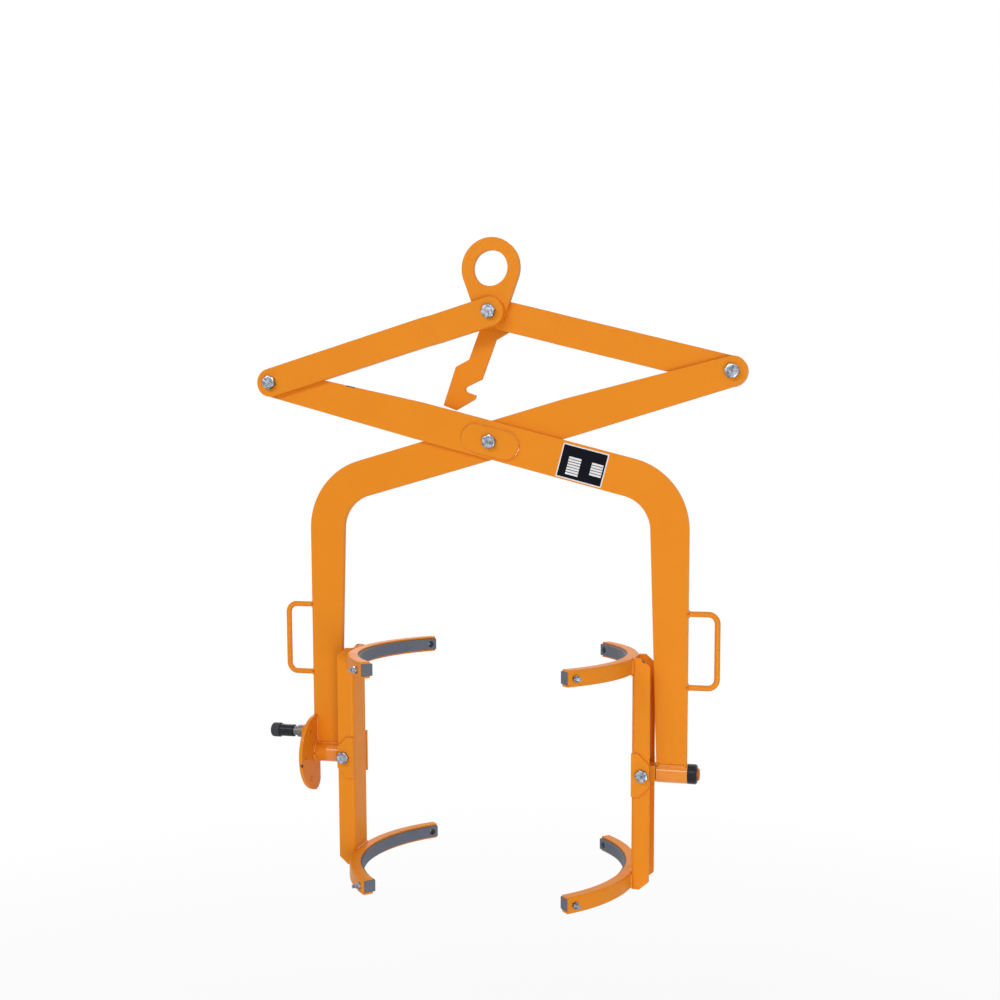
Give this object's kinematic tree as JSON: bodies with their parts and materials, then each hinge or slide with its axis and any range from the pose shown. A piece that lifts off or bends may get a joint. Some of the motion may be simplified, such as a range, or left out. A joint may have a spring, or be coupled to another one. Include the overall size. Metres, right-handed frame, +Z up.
{
  "type": "drum turning clamp",
  "caption": "Scissor clamp that hangs by its eye, closes two yokes of padded jaws round an upright drum and lets the drum turn over on a level axle.",
  "frame": {"origin": "middle of the lifting eye's hole, halfway through its plate", "axes": "+X to the right along the turning axle, away from the index plate; +Y away from the front, along the scissor's pivots; +Z up, from the jaws to the eye"},
  "size_m": [1.0738, 0.4608, 1.3715],
  "materials": {
    "orange_paint": "satin",
    "zinc": "satin",
    "bare_steel": "satin",
    "black_plastic": "matte",
    "rubber": "matte"
  },
  "bodies": {
    "hanger": {"eye_plate": "orange_paint", "top_bolt": "zinc", "top_spacer": "zinc", "top_washer": "zinc", "top_nut": "zinc"},
    "left_link": {"left_link": "orange_paint", "left_pivot_bolt": "zinc", "left_pivot_nut": "zinc"},
    "right_link": {"right_link": "orange_paint", "right_pivot_bolt": "zinc", "right_pivot_nut": "zinc"},
    "front_arm": {"front_arm": "orange_paint", "front_doubler": "orange_paint", "middle_bolt": "zinc", "middle_nut": "zinc", "right_handle": "orange_paint", "right_bearing_tube": "orange_paint"},
    "rear_arm": {"rear_arm": "orange_paint", "rear_doubler": "orange_paint", "left_handle": "orange_paint", "left_bearing_tube": "orange_paint", "index_plate": "orange_paint"},
    "right_axle": {"right_axle": "bare_steel", "right_block": "orange_paint", "right_collar": "black_plastic"},
    "left_axle": {"left_axle": "bare_steel", "left_block": "orange_paint", "crank_arm": "orange_paint", "crank_nut": "zinc", "plunger_sleeve": "bare_steel", "plunger_spring": "bare_steel"},
    "plunger": {"plunger_pin": "bare_steel", "plunger_grip": "black_plastic", "plunger_cap": "black_plastic"},
    "lock_hook": {"lock_hook": "orange_paint"},
    "left_yoke": {"left_beam": "orange_paint", "left_cheeks": "orange_paint", "left_swivel_bolt": "zinc", "left_swivel_nut": "zinc", "left_swivel_spacers": "zinc", "left_upper_jaw": "orange_paint", "left_lower_jaw": "orange_paint", "left_upper_pad": "rubber", "left_lower_pad": "rubber", "left_pad_bolts": "zinc", "left_pad_nuts": "zinc"},
    "right_yoke": {"right_beam": "orange_paint", "right_cheeks": "orange_paint", "right_swivel_bolt": "zinc", "right_swivel_nut": "zinc", "right_swivel_spacers": "zinc", "right_upper_jaw": "orange_paint", "right_lower_jaw": "orange_paint", "right_upper_pad": "rubber", "right_lower_pad": "rubber", "right_pad_bolts": "zinc", "right_pad_nuts": "zinc"}
  },
  "joints": [
    {"name": "left_link_swing", "type": "hinge", "parent": "hanger", "child": "left_link", "pos_m": [0, 0, -0.092], "axis": [0, 1, 0], "range_deg": [0, 5.81]},
    {"name": "right_link_swing", "type": "hinge", "parent": "hanger", "child": "right_link", "pos_m": [0, 0, -0.092], "axis": [0, 1, 0], "range_deg": [-5.82, 0]},
    {"name": "front_arm_swing", "type": "hinge", "parent": "left_link", "child": "front_arm", "pos_m": [-0.50591, 0, -0.2285], "axis": [0, 1, 0], "range_deg": [-11.64, 0]},
    {"name": "rear_arm_swing", "type": "hinge", "parent": "right_link", "child": "rear_arm", "pos_m": [0.50591, 0, -0.2285], "axis": [0, 1, 0], "range_deg": [0, 11.64]},
    {"name": "left_turn", "type": "hinge", "parent": "rear_arm", "child": "left_axle", "pos_m": [-0.385, 0, -1.06201], "axis": [1, 0, 0], "continuous": true},
    {"name": "right_turn", "type": "hinge", "parent": "front_arm", "child": "right_axle", "pos_m": [0.385, 0, -1.06201], "axis": [1, 0, 0], "continuous": true},
    {"name": "left_swivel", "type": "hinge", "parent": "left_axle", "child": "left_yoke", "pos_m": [-0.335, 0, -1.06201], "axis": [0, 1, 0], "range_deg": [-5, 5]},
    {"name": "right_swivel", "type": "hinge", "parent": "right_axle", "child": "right_yoke", "pos_m": [0.335, 0, -1.06201], "axis": [0, 1, 0], "range_deg": [-5, 5]},
    {"name": "plunger_slide", "type": "slide", "parent": "left_axle", "child": "plunger", "axis": [1, 0, 0], "range_m": [0, 0.011]},
    {"name": "hook_swing", "type": "hinge", "parent": "hanger", "child": "lock_hook", "pos_m": [0, 0, -0.092], "axis": [0, -1, 0], "range_deg": [-15, 21.2]}
  ],
  "couplings": [
    {"joint": "right_link_swing", "follows": "left_link_swing", "ratio": -1},
    {"joint": "front_arm_swing", "follows": "left_link_swing", "ratio": -2},
    {"joint": "rear_arm_swing", "follows": "left_link_swing", "ratio": 2}
  ]
}
